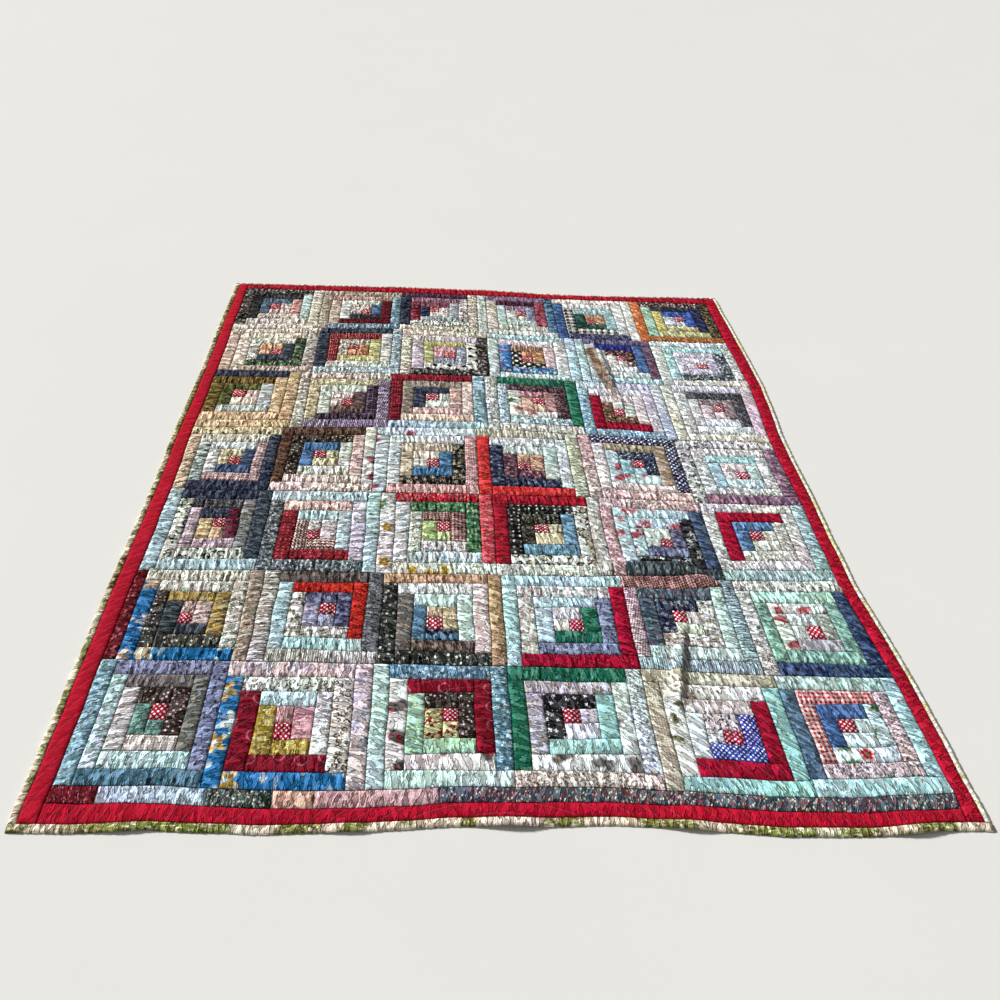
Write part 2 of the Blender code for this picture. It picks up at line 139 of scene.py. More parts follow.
def course(line, x):
    # how far up a line across the quilt lies at this x
    return np.interp(x, patchwork["places"], line)


def seamAt(number, x):
    return course(patchwork["crossSeams"][number][0], x)


def edgeOf(side, bordered=0, binding=0):
    # gives the x, for any y, of the patchwork's edge, or of its border's or its binding's
    end, outward = (1, -1) if side == "left" else (2, 1)
    rows = patchwork["crossSeams"][::-1]
    ys = [course(row[0], row[end]) for row in rows]

    def edge(y):
        x, border = [np.interp(y, ys, [row[column] for row in rows]) for column in (end, end + 2)]
        return x + bordered * outward * border + outward * binding

    return edge


def laid(x, y):
    # where a point of the straight pattern lies on the floor
    share = np.maximum(0, 1 - (y - floorLie["bendFrom"]) / floorLie["bendDepth"])
    bend = np.interp(x, *np.transpose(floorLie["bend"]))
    strayX, strayY = [
        2 * floorLie["waver"] * (softNoise(x, y, *floorLie[waver]) - 0.5) for waver in ("waverX", "waverY")
    ]
    return x + strayX, y * (1 + floorLie["fan"] * x) + share * bend + strayY


def slope(distance, reach):
    return np.where(distance < reach, 0.5 + 0.5 * np.cos(np.pi * np.minimum(distance, reach) / reach), 0)


def besideLine(x, y, startX, startY, endX, endY, stray=0):
    # the share of the line at each point, how far away it is, and above 0 on its far or left side
    alongX, alongY = endX - startX, endY - startY
    place = ((x - startX) * alongX + (y - startY) * alongY) / (alongX * alongX + alongY * alongY)
    place = np.clip(place, 0, 1)
    away = np.hypot(x - startX - place * alongX + stray, y - startY - place * alongY)
    return place, away, alongX * (y - startY) - alongY * (x - startX)


def lift(x, y):
    # how far the underside stands off the floor
    height = np.zeros_like(x)
    for *line, startHeight, endHeight, near, far in floorLie["folds"]:
        place, away, farSide = besideLine(x, y, *line)
        crest = startHeight + place * (endHeight - startHeight)
        height = np.maximum(height, crest * slope(away, np.where(farSide < 0, near, far)))
    for swellX, swellY, swellHeight, radius in floorLie["swells"]:
        height = height + swellHeight * slope(np.hypot(x - swellX, y - swellY), radius)
    return np.where(height > floorLie["flatBelow"], height, 0)


def shadeOf(x, y):
    # from 0 in the open to 1 in the brown shade of a fold, or to -1 in a black one
    shade = np.zeros_like(x)
    reach, waver = floorLie["shadeStray"]
    stray = reach * (softNoise(x, y, *waver) - 0.5)
    for *line, halfWidth, depth in floorLie["shades"]:
        away = besideLine(x, y, *line, stray)[1]
        here = depth * np.clip(floorLie["shadeCore"] * (1 - away / halfWidth), 0, 1)
        shade = np.where(np.abs(here) > np.abs(shade), here, shade)
    return shade


# ---- quilting: the height of the cloth over its underside
quilting = {
    "seamHeight": 0.0024,
    "puff": 0.0038,
    "puffReach": 0.0034,         # from a seam to where the cloth is nearly up
    "linesCentre": (-0.05, -1.45),
    "linesApart": 0.027,         # hand quilted arcs
    "lineDepth": 0.0011,
    "puckers": (                 # from one to the next along a log, height, how far one runs, sharp crest
        (0.022, 0.0042, 0.045, False),
        (0.0118, 0.0043, 0.030, True),
    ),
    "puckerWander": (1.3, 0.055, 60),    # how far puckers stray, its size and shift
    "puckerStrength": (0.3, 0.95, 0.033, 90),    # the least, how much more, its size and shift
    "puckerCurve": 0.75,
    "puckerInSeam": 0.3,         # share of its height that a pucker has in a seam
    "slant": (0.35, 0.25, 0.5),  # how puckers lean: per metre to the right, in the middle, by chance
    "slantChance": (0.3, 0.3, 20, 31),
    "lean": (0.6, 1.3),          # and the share of it in logs across the quilt and in those along it
    "gather": {                  # less in these
        "border_left": 0.3, "border_near": 0.65, "border_right": 0.8, "binding_right": 0.5,
    },
    "calmNear": ((-0.85, -0.45), (0.65, 1.0)),   # y and the height of puckers, flatter at the near end
    # the crest, which the shader lightens with a painted highlight and whose valleys it darkens with
    # painted shade: its share on a line, the height and place of a usual pucker, the most there is
    "crest": (0.3, 0.0062, 0.6, 1.3),
    "edgeHeight": 0.0012,        # at the outer edge of the binding
    "edgeRoll": 0.008,
    "edgeTurn": 0.002,           # the binding's cloth that turns down over the edge
}


def quiltedLine(x, y):
    centreX, centreY = quilting["linesCentre"]
    away = np.hypot(x - centreX, y - centreY)
    return np.sqrt(np.abs(np.sin(np.pi * away / quilting["linesApart"])))


def gathered(along, across, apart, reach, sharp, seed):
    # short folds across a log, from 0 in a valley to 1 on a crest, where either of them is sharp
    wander, size, shift = quilting["puckerWander"]
    place = along / apart + wander * softNoise(along, across, size, reach, shift, seed)
    least, more, size, shift = quilting["puckerStrength"]
    strength = least + more * softNoise(along, across, size, reach, shift, seed + 1)
    wave = np.abs(np.sin(np.pi * place)) ** quilting["puckerCurve"]
    return (1 - wave) * strength if sharp else 1 - (1 - wave) * strength


def leanAt(x, y, alongX):
    perMetre, inMiddle, byChance = quilting["slant"]
    chance = float(softNoise(x, y, *quilting["slantChance"])) - 0.5
    return (perMetre * x + inMiddle + byChance * chance) * quilting["lean"][0 if alongX else 1]


def relief(x, y, seamDistance, alongX, seed, gather=1.0):
    lean = leanAt(x.mean(), y.mean(), alongX)
    along = x + lean * (y - y.mean()) if alongX else y + lean * (x - x.mean())
    puff = 1 - np.exp(-seamDistance / quilting["puffReach"])
    gather = gather * np.interp(y, *quilting["calmNear"])
    line = quiltedLine(x, y)
    height = quilting["seamHeight"] + quilting["puff"] * puff - quilting["lineDepth"] * (1 - line) * puff
    inSeam = quilting["puckerInSeam"]
    onLine, usualHeight, usualPlace, most = quilting["crest"]
    crest = onLine * line
    for apart, high, reach, sharp in quilting["puckers"]:
        folds = gathered(along, y if alongX else x, apart, reach, sharp, seed)
        height = height + gather * high * (folds - 0.5) * (inSeam + (1 - inSeam) * puff)
        crest = crest + high / usualHeight * (usualPlace + gather * (folds - usualPlace))
    return height, puff, np.clip(crest, 0, most)


print("quilting set out")


# ---- colours of the cottons
palette = {
    "white": "e7e5e1", "cream": "e2d3b6", "ice": "d0e3e8", "blush": "e6cac8", "pink": "cf97a2",
    "dustyPink": "c79494", "rose": "b5606f", "lilac": "c8bcd6", "lavender": "8f87ad", "dusk": "838aa8",
    "mauve": "84627a", "plum": "4f2c42", "purple": "2c2348", "indigo": "272450", "sky": "a9c7d1",
    "lightBlue": "84a9c0", "steel": "5d8199", "cornflower": "4f76ae", "azure": "1d6ea6", "royal": "2638a0",
    "denim": "3d5b86", "slate": "44525f", "navy": "1f2646", "aqua": "9ccbd0", "mint": "a6cfbe",
    "paleMint": "c4e0ce", "sage": "7aa093", "teal": "35616a", "emerald": "136b59", "green": "356f47",
    "lime": "a2c08a", "olive": "686430", "forest": "232d27", "darkGreen": "263429", "yellow": "dcc65a",
    "straw": "d0c391", "gold": "b48d33", "orange": "cf6228", "rust": "a5603c", "peach": "d9ae8c",
    "tan": "ab8d63", "beige": "cabca2", "stone": "ada196", "khaki": "988f68", "brown": "583d2d",
    "espresso": "291f1b", "black": "121114", "charcoal": "302f34", "grey": "74757a", "ash": "b4b5b4",
    "taupe": "7b6c60", "crimson": "ac0c33", "red": "b2152c", "brick": "871c27", "garnet": "7e1024",
    "darkRed": "650e1b", "maroon": "45141f", "scarlet": "cb301f", "caramel": "a07b5a", "moss": "868a3c",
    "periwinkle": "b0bad4", "borderRed": "a60024", "cherry": "dc4752",
}


def linear(name):
    parts = [int(palette[name][place:place + 2], 16) / 255 for place in (0, 2, 4)]
    return (*[p / 12.92 if p <= 0.04045 else ((p + 0.055) / 1.055) ** 2.4 for p in parts], 1)


class Channel:
    # an output of a node: sums with it add nodes to its tree
    def __init__(self, socket):
        self.socket = socket
        self.tree = socket.id_data

    def maths(self, operation, *others):
        return add("ShaderNodeMath", enumerate((self, *others)), operation=operation)[0]

    def __add__(self, other):
        return self.maths("ADD", other)

    def __sub__(self, other):
        return self.maths("SUBTRACT", other)

    def __rsub__(self, other):
        return add("ShaderNodeMath", {0: other, 1: self}, operation="SUBTRACT")[0]

    def __mul__(self, other):
        return self.maths("MULTIPLY", other)

    def __truediv__(self, other):
        return self.maths("DIVIDE", other)

    def __abs__(self):
        return self.maths("ABSOLUTE")


def add(kind, inputs=(), tree=None, **settings):
    # a new node, in the tree of what goes into it unless one is given
    inputs = dict(inputs)
    tree = tree or next(value.tree for value in inputs.values() if isinstance(value, Channel))
    node = tree.nodes.new(kind)
    for setting, value in settings.items():
        setattr(node, setting, value)
    for socket, value in inputs.items():
        if isinstance(value, Channel):
            tree.links.new(value.socket, node.inputs[socket])
        else:
            node.inputs[socket].default_value = value
    return [Channel(socket) for socket in node.outputs]


def mixed(share, first, second, how="MIX"):
    first, second = [linear(side) if isinstance(side, str) else side for side in (first, second)]
    return add("ShaderNodeMix", {0: share, 6: first, 7: second}, data_type="RGBA", blend_type=how)[2]


def ranged(value, low, high, atLow=0.0, atHigh=1.0, how="LINEAR"):
    inputs = {"Value": value, "From Min": low, "From Max": high, "To Min": atLow, "To Max": atHigh}
    return add("ShaderNodeMapRange", inputs, interpolation_type=how)[0]


def over(value, edge, soft=0.04):
    # 1 where the value is over the edge, 0 where it is under
    return ranged(value, edge - soft, edge + soft)


def under(value, edge, soft=0.04):
    return 1.0 - over(value, edge, soft)


def moved(vector, turn=0.0, scale=(1, 1), shift=(0, 0)):
    inputs = {"Vector": vector, "Location": (*shift, 0), "Rotation": (0, 0, turn), "Scale": (*scale, 1)}
    return add("ShaderNodeMapping", inputs)[0]


def noise(vector, scale, detail=2.0, kind="2D"):
    # its height and its colour
    inputs = {"Vector": vector, "Scale": scale, "Detail": detail}
    return add("ShaderNodeTexNoise", inputs, noise_dimensions=kind)


def cells(vector, randomness=1.0):
    # how far off the middle of each is, its random colour and its middle
    inputs = {"Vector": vector, "Scale": 1.0, "Randomness": randomness}
    return add("ShaderNodeTexVoronoi", inputs, voronoi_dimensions="2D")[:3]


def sides(vector):
    return add("ShaderNodeSeparateXYZ", {0: vector})


def wandering(vector, reach=0.12, size=2.5):
    # shakes the coordinates a little, so that what is printed looks drawn by hand
    return mixed(reach, vector, noise(vector, size, 1.0, "3D")[1], "ADD")


def scattered(vector, size, petals=0.0, share=1.0, randomness=0.9):
    # spots or flowers strewn one unit apart, a random number for each, and how far off its middle is
    distance, colour, middle = cells(vector, randomness)
    chance = sides(colour)
    rim = distance
    if petals:
        away = sides(add("ShaderNodeVectorMath", {0: vector, 1: middle}, operation="SUBTRACT")[0])
        angle = away[1].maths("ARCTAN2", away[0]).maths("MULTIPLY_ADD", petals, chance[2] * 6.3)
        rim = distance - angle.maths("COSINE") * (0.28 * size)
    spots = under(rim, size * 0.8, 0.05)
    if share < 1:
        spots = spots * under(chance[0], share, 0.001)
    return spots, chance[1], distance


def printed(colour, *layers):
    # prints each layer's ink over the cloth by its share
    for share, ink in layers:
        colour = mixed(share, colour, ink)
    return colour


# ---- prints: each takes the cloth's coordinates, one unit to a repeat, and three colours
def plain(cloth, ground, motif, second):
    return mixed(noise(cloth, 1.0, 3.0)[0], ground, motif)


def mottle(cloth, ground, motif, second):
    patches = over(noise(moved(cloth, shift=(9, 4)), 1.4)[0], 0.62, 0.08)
    return printed(ground, (over(noise(cloth, 1.0, 4.0)[0], 0.5, 0.16), motif), (patches, second))


def fine(cloth, ground, motif, second):
    spots, chance, _ = scattered(wandering(cloth), 0.5, 3.0, 0.75)
    return printed(ground, (spots * 0.7, motif), (spots * over(chance, 0.75), second))


def fleck(cloth, ground, motif, second):
    others = over(noise(moved(cloth, shift=(5, 8)), 0.8, 1.0)[0], 0.66)
    return printed(ground, (over(noise(cloth, 1.0, 1.0)[0], 0.6), motif), (others, second))


def spot(cloth, ground, motif, second):
    # broken spots like a leopard's
    distance = scattered(wandering(cloth, 0.3), 0.4)[2]
    band = under(abs(distance - 0.3), 0.1, 0.05) * over(noise(cloth, 1.6, 1.0)[0], 0.45, 0.05)
    return printed(ground, (under(distance, 0.24, 0.06) * 0.6, second), (band, motif))


def dots(cloth, ground, motif, second):
    turned = moved(cloth, math.radians(45))
    return mixed(under(cells(turned, 0.0)[0], 0.27), ground, motif)


def specks(cloth, ground, motif, second):
    spots, chance, _ = scattered(cloth, 0.22, 0, 1.0, 0.35)
    return mixed(spots * ranged(chance, 0.0, 0.6, 0.5), ground, motif)


def buds(cloth, ground, motif, second):
    # small pale buds far apart on a ground of dim leaves
    bent = wandering(cloth)
    leaves = scattered(moved(bent, 0.5, (2.2, 1.3), (4, 9)), 0.4, 2.0, 0.8)[0]
    small = scattered(moved(bent, 0, (2.5, 2.5), (7, 3)), 0.17, 0, 0.3)[0]
    large = scattered(bent, 0.2, 4.0, 0.8)[0]
    return printed(ground, (leaves * 0.5, second), (small * 0.6, motif), (large * 0.9, motif))


def floral(cloth, ground, motif, second):
    bent = wandering(cloth)
    leaves = scattered(moved(bent, 0.6, (2.1, 1.2), (3.3, 7.1)), 0.34, 2.0, 0.6)[0]
    petals, _, distance = scattered(bent, 0.36, 5.0, 0.75)
    heart = petals * under(distance, 0.11)
    return printed(ground, (leaves * 0.7, second), (petals * 0.85, motif), (heart * 0.7, ground))


def bouquet(cloth, ground, motif, second):
    # outlined flowers in two colours, with sprigs between them
    bent = wandering(cloth, 0.1)
    outer, chance, distance = scattered(bent, 0.4, 5.0, 0.85)
    inner = scattered(bent, 0.29, 5.0, 0.85)[0]
    sprigs = scattered(moved(bent, 0.9, (3.4, 1.8), (5.2, 1.7)), 0.3, 2.0, 0.5)[0]
    flower = mixed(over(chance, 0.5, 0.01), motif, second)
    outline = outer * (1.0 - inner)
    return printed(ground, (sprigs * 0.6, second), (inner * 0.3, flower), (outline * 0.85, flower),
                   (under(distance, 0.08), flower))


def bloom(cloth, ground, motif, second):
    # large flowers with a coloured heart, every other one in the second colour
    bent = wandering(cloth)
    leaves = scattered(moved(bent, 0.9, (2.6, 1.3), (5.2, 1.7)), 0.3, 2.0, 0.5)[0]
    petals, chance, distance = scattered(bent, 0.4, 5.0, 0.55)
    flower = mixed(over(chance, 0.55, 0.01), motif, second)
    rim = petals * over(distance, 0.27)
    return printed(ground, (leaves * 0.4, "white"), (petals, flower), (rim * 0.5, "cream"),
                   (under(distance, 0.1), second))


def leaf(cloth, ground, motif, second):
    bent = wandering(cloth, 0.25, 1.2)
    one = under(cells(moved(bent, 0.6, (0.8, 2.1)))[0], 0.3)
    other = under(cells(moved(bent, -0.7, (0.9, 2.4), (4.4, 2.2)))[0], 0.24)
    return printed(ground, (one * 0.8, motif), (other * 0.8, second))


def scroll(cloth, ground, motif, second):
    # curled strokes far apart
    strokes = scattered(moved(wandering(cloth, 0.5, 1.6), 0.5, (1.0, 1.9)), 0.25, 2.0, 0.8)[0]
    small = scattered(moved(cloth, 0, (2, 2), (3, 8)), 0.16, 0, 0.4)[0]
    return printed(ground, (small * 0.6, second), (strokes * 0.9, motif))


def blots(cloth, ground, motif, second):
    # curled blots far apart, each with a heart of the second colour
    bent = wandering(cloth, 0.2, 3.5)
    large = scattered(bent, 0.28, 2.0, 0.8, 0.6)[0]
    heart = large * scattered(moved(bent, 0, (3.5, 3.5)), 0.4, 3.0, 0.9, 0.6)[0]
    return printed(ground, (large * 0.9, motif), (heart * 0.8, second))


def rings(cloth, ground, motif, second):
    _, chance, distance = scattered(cloth, 0.3, 0, 1.0, 0.5)
    large = under(abs(distance - 0.24), 0.025, 0.03) * over(chance, 0.3, 0.01)
    small = scattered(moved(cloth, 0, (4, 4)), 0.3, 3.0, 0.5)[0]
    return printed(ground, (small * 0.5, second), (large * 0.8, motif))


def stripe(cloth, ground, motif, second):
    place = sides(cloth)[0].maths("FRACT")
    thin = under(abs(place - 0.7), 0.07)
    return printed(ground, (under(place, 0.42, 0.06) * 0.85, motif), (thin, second))


def check(cloth, ground, motif, second):
    one, other = [under(part.maths("FRACT"), 0.5, 0.03) for part in sides(cloth)[:2]]
    return mixed((one + other) * 0.5, ground, motif)


def plaid(cloth, ground, motif, second):
    lines = [under(abs(part.maths("FRACT") - 0.5), 0.06) * 0.8 for part in sides(cloth)[:2]]
    checks = check(moved(cloth, 0, (0.5, 0.5)), ground, motif, second)
    return printed(checks, *[(line, second) for line in lines])


def zigzag(cloth, ground, motif, second):
    parts = sides(wandering(cloth, 0.15, 1.0))
    place = parts[1] + parts[0].maths("PINGPONG", 0.5)
    return mixed(under(place.maths("FRACT"), 0.4), ground, motif)


def tooth(cloth, ground, motif, second):
    slanted = sides(moved(cloth, math.radians(30)))[:2]
    one, other = [under(part.maths("FRACT"), 0.5) for part in slanted]
    return mixed(one.maths("COMPARE", other, 0.5), ground, motif)


def foliage(cloth, ground, motif, second):
    # bare ground and clumps of leaves by turns
    clumps = over(noise(moved(cloth, 0, (0.17, 0.17)), 1.0)[0], 0.47, 0.05)
    one = under(cells(moved(cloth, 0.5, (0.9, 1.9)))[0], 0.62, 0.12)
    other = under(cells(moved(cloth, -0.6, (1.1, 2.3), (4.4, 2.2)))[0], 0.34, 0.08)
    return printed(ground, (clumps * one, motif), (clumps * other, second))


# each print's function and the usual size of its repeat in metres
prints = {
    "plain": (plain, 0.030), "mottle": (mottle, 0.016), "fine": (fine, 0.0060), "fleck": (fleck, 0.0045),
    "spot": (spot, 0.010), "dots": (dots, 0.0085), "specks": (specks, 0.009), "buds": (buds, 0.016),
    "floral": (floral, 0.0120), "bouquet": (bouquet, 0.027), "bloom": (bloom, 0.048),
    "leaf": (leaf, 0.014), "scroll": (scroll, 0.018), "motif": (blots, 0.042), "rings": (rings, 0.026),
    "stripe": (stripe, 0.008), "check": (check, 0.008), "plaid": (plaid, 0.011),
    "zigzag": (zigzag, 0.009), "tooth": (tooth, 0.006), "foliage": (foliage, 0.012),
}


def newGroup(name, inputs, outputs):
    tree = bpy.data.node_groups.new(name, "ShaderNodeTree")
    for way, sockets in (("INPUT", inputs), ("OUTPUT", outputs)):
        for label, kind in sockets.items():
            tree.interface.new_socket(name=label, in_out=way, socket_type="NodeSocket" + kind)
    return tree, add("NodeGroupInput", tree=tree)[:len(inputs)]


def printGroup(kind):
    name = kind + " print"
    if name not in bpy.data.node_groups:
        inputs = {"Cloth": "Vector", "Ground": "Color", "Motif": "Color", "Second": "Color"}
        given = newGroup(name, inputs, {"Colour": "Color"})[1]
        add("NodeGroupOutput", {0: prints[kind][0](*given)})
    return bpy.data.node_groups[name]


# a range is from, to, the value at from, the value at to, and how it goes where that isn't straight
wearAndShading = {
    "fading": (0.25, 0.75, 0.88, 1.12),
    "fadingNoise": (30.0, 3.0),
    "seamShade": (0.0, 0.45, 0.36, 1.0, "SMOOTHSTEP"),    # painted shade and dirt in a seam
    "valleyShade": (0.1, 0.7, 0.42, 1.0),    # painted shade and dirt between two puckers
    "crestHighlight": (0.7, 1.15, 1.0, 1.27),     # painted highlight: how much lighter the crests are
    "crestFade": (0.7, 1.2, 0.0, 0.006, "SMOOTHSTEP"),    # and how far the crests go pale: a little wear and a little painted highlight
    "paleCrest": (0.75, 0.73, 0.70, 1),
    "foldShade": (0.21, 0.105, 0.05, 1),
    "black": (-1.0, 0.0, 0.14, 1.0),         # where a fold's shade is black instead
    "creaseSize": (0.0125, 0.036),           # small creases across a log
    "creases": (0.25, 0.75, 0.2, 0.8),
    "creaseLines": ((0.455, 0.05, -0.5), (0.56, 0.045, 0.5)),    # thin valleys and thin crests
    # painted shade in the valleys of the small creases and painted highlight on their crests
    "creaseShade": (0.0, 1.0, 0.34, 1.74),
    "shadeTone": (0.92, 1.0, 1.04),          # a shade is warm: the power of its red, green and blue
    "glow": (0.090, 0.085, 0.084, 1),        # painted highlight on the crests of a cloth that isn't red
    "glowCreases": (0.45, 0.95),
    "glowCrests": (0.2, 1.0, 0.2, 1.0),
    "redHue": (0.44, 0.02),                  # how near to red a dye is, and how soft that edge is
    "redStrength": (0.88, 0.06),
    "dyeLots": (0.22, 4.0),                  # how far the tones of two logs differ, and its size
    "warm": (1.0, 0.945, 0.855, 1),          # the tone of the far left and that of the right
    "cool": (0.95, 1.0, 1.02, 1),
    "coolWay": (0.7, 0.5, -0.8, 0.2),        # to the right, towards the viewer, from, to
    "weave": 0.0009,
    "weaveDepth": 0.10,
    "thread": (0.62, 0.60, 0.55, 1),
    "threadShare": 0.22,
    "threadDepth": 0.3,
    "stitch": 0.0035,
    "bump": {"Strength": 0.9, "Distance": 0.0042},
    "roughness": (0.0, 1.0, 0.95, 0.80),
    "shine": 0.05,
}


def stitches(place):
    # the running stitches of the hand quilting, on arcs about one point
    toCentre = [middle - centre for middle, centre in zip(patchwork["middle"], quilting["linesCentre"])]
    x, y, _ = sides(moved(place, shift=toCentre))
    away = (x * x + y * y).maths("SQRT")
    line = (away / quilting["linesApart"]).maths("PINGPONG", 0.5)
    dash = (y.maths("ARCTAN2", x) * 1.6 / wearAndShading["stitch"]).maths("FRACT")
    return under(line, 0.03, 0.012) * under(dash, 0.55, 0.1)


def wornAndShadedGroup(quilted):
    # what years of washing do to a cotton, with light and shade painted on it: fading, crests lighter by a
    # painted highlight and a little wear, painted shade and dirt in seams, painted shade between puckers
    # and beside folds, small creases with painted shade and highlight, weave and stitches
    name = "quilted cotton" if quilted else "bound cotton"
    if name in bpy.data.node_groups:
        return bpy.data.node_groups[name]
    outputs = {"Colour": "Color", "Roughness": "Float", "Normal": "Vector"}
    tree, (dyed, cloth) = newGroup(name, {"Colour": "Color", "Cloth": "Vector"}, outputs)
    seam, crest, deep, gather = [
        add("ShaderNodeAttribute", tree=tree, attribute_name=label)[2]
        for label in ("seam", "crest", "shade", "gather")
    ]
    place = add("ShaderNodeTexCoord", tree=tree)[3]
    gathers = add("ShaderNodeUVMap", tree=tree, uv_map="gathers")[0]

    level = noise(moved(gathers, 0, [1 / size for size in wearAndShading["creaseSize"]]), 1.0)[0]
    creases = ranged(level, *wearAndShading["creases"])
    for middle, reach, share in wearAndShading["creaseLines"]:
        creases = creases + ranged(abs(level - middle), 0.0, reach, share, 0.0)
    creases = (creases - 0.5).maths("MULTIPLY_ADD", gather, 0.5)

    fading = ranged(noise(cloth, *wearAndShading["fadingNoise"])[0], *wearAndShading["fading"])
    # the colour's level: random fading times painted shade and dirt in seams, painted shade between
    # puckers, painted highlight on crests, the painted light and shade of small creases and the painted
    # black shade of folds
    inSeam, black = ranged(seam, *wearAndShading["seamShade"]), ranged(deep, *wearAndShading["black"])
    level = fading * inSeam * ranged(crest, *wearAndShading["valleyShade"]) * ranged(crest, *wearAndShading["crestHighlight"])
    level = level * ranged(creases, *wearAndShading["creaseShade"]) * black
    tones = [level if power == 1 else level.maths("POWER", power) for power in wearAndShading["shadeTone"]]
    colour = mixed(ranged(crest, *wearAndShading["crestFade"]), dyed, wearAndShading["paleCrest"])
    brown = deep.maths("MAXIMUM", 0.0).maths("MINIMUM", 1.0)
    colour = mixed(brown, colour, wearAndShading["foldShade"])
    colour = mixed(1.0, colour, add("ShaderNodeCombineColor", enumerate(tones))[0], "MULTIPLY")

    hue, strength, _ = add("ShaderNodeSeparateColor", {0: dyed}, mode="HSV")
    red = over(abs(hue - 0.5), *wearAndShading["redHue"]) * over(strength, *wearAndShading["redStrength"])
    # painted highlight added on crests and creases, left out in seams, in black fold shade and on red
    glow = ranged(creases, *wearAndShading["glowCreases"]) * ranged(crest, *wearAndShading["glowCrests"])
    colour = mixed(glow * inSeam * black * (1.0 - red), colour, wearAndShading["glow"], "ADD")
    reach, size = wearAndShading["dyeLots"]
    usual = 1 + reach / 2 / (1 - reach)
    lots = mixed(reach, (usual, usual, usual, 1), noise(cloth, size, 0.0)[1])
    colour = mixed(1.0, colour, lots, "MULTIPLY")
    right, nearer, low, high = wearAndShading["coolWay"]
    x, y, _ = sides(place)
    tone = mixed(ranged(x * right - y * nearer, low, high), wearAndShading["warm"], wearAndShading["cool"])
    colour = mixed(1.0, colour, tone, "MULTIPLY")

    yarns = sides(moved(cloth, 0, (1 / wearAndShading["weave"], 1 / wearAndShading["weave"])))[:2]
    across, up = [yarn.maths("PINGPONG", 0.5) for yarn in yarns]
    height = creases + (across + up) * wearAndShading["weaveDepth"]
    if quilted:
        sewn = stitches(place) * over(seam, 0.6, 0.1)
        colour = mixed(sewn * wearAndShading["threadShare"], colour, wearAndShading["thread"])
        height = height + sewn * wearAndShading["threadDepth"]
    bump = add("ShaderNodeBump", {**wearAndShading["bump"], "Height": height})[0]
    add("NodeGroupOutput", {0: colour, 1: ranged(creases, *wearAndShading["roughness"]), 2: bump})
    return tree


def cotton(words, quilted=True):
    # a cloth named by its ground colour, print, motif colour, second colour and repeat in millimetres
    if words in bpy.data.materials:
        return bpy.data.materials[words]
    ground, kind, motif, *rest = words.split()
    repeat = float(rest.pop()) / 1000 if rest and rest[-1].isdigit() else prints[kind][1]
    second = rest[0] if rest else motif
    material = bpy.data.materials.new(words)
    material.use_nodes = True
    tree = material.node_tree
    cloth = add("ShaderNodeUVMap", tree=tree, uv_map="cloth")[0]
    inputs = {"Ground": linear(ground), "Motif": linear(motif), "Second": linear(second),
              "Cloth": moved(cloth, 0, (1 / repeat, 1 / repeat))}
    dyed = add("ShaderNodeGroup", inputs, node_tree=printGroup(kind))[0]
    wornAndShaded = add("ShaderNodeGroup", {"Colour": dyed, "Cloth": cloth}, node_tree=wornAndShadedGroup(quilted))
    shader = tree.nodes["Principled BSDF"]
    for output, socket in zip(wornAndShaded, ("Base Color", "Roughness", "Normal")):
        tree.links.new(output.socket, shader.inputs[socket])
    shader.inputs["Specular IOR Level"].default_value = wearAndShading["shine"]
    return material


# ---- sewing: one closed sheet for each solid
sewing = {
    "logLines": (0, 0.045, 0.13, 0.23, 0.34, 0.45, 0.55, 0.66, 0.77, 0.87, 0.955, 1),
    "stripStep": 0.0042,
    "stripLines": (0, 0.04, 0.12, 0.22, 0.34, 0.46, 0.58, 0.70, 0.81, 0.91, 0.97, 1),
    "backing": "cream foliage khaki olive 14",
    "cutFrom": (0.5, 6.5),       # where on its cloth a scrap is cut, in metres
    "sharpAngle": 55,
    "layers": 1.0,               # the sheet's underside and top are parted by this while it is made
}
draws = np.random.default_rng(1887)


def read(items, label, width=1, kind=np.float32):
    values = np.empty(len(items) * width, kind)
    items.foreach_get(label, values)
    return values.reshape(-1, width) if width > 1 else values


def keep(mesh, **layers):
    for label, values in layers.items():
        layer = mesh.attributes.new(label, "FLOAT", "POINT")
        layer.data.foreach_set("value", values.astype(np.float32))


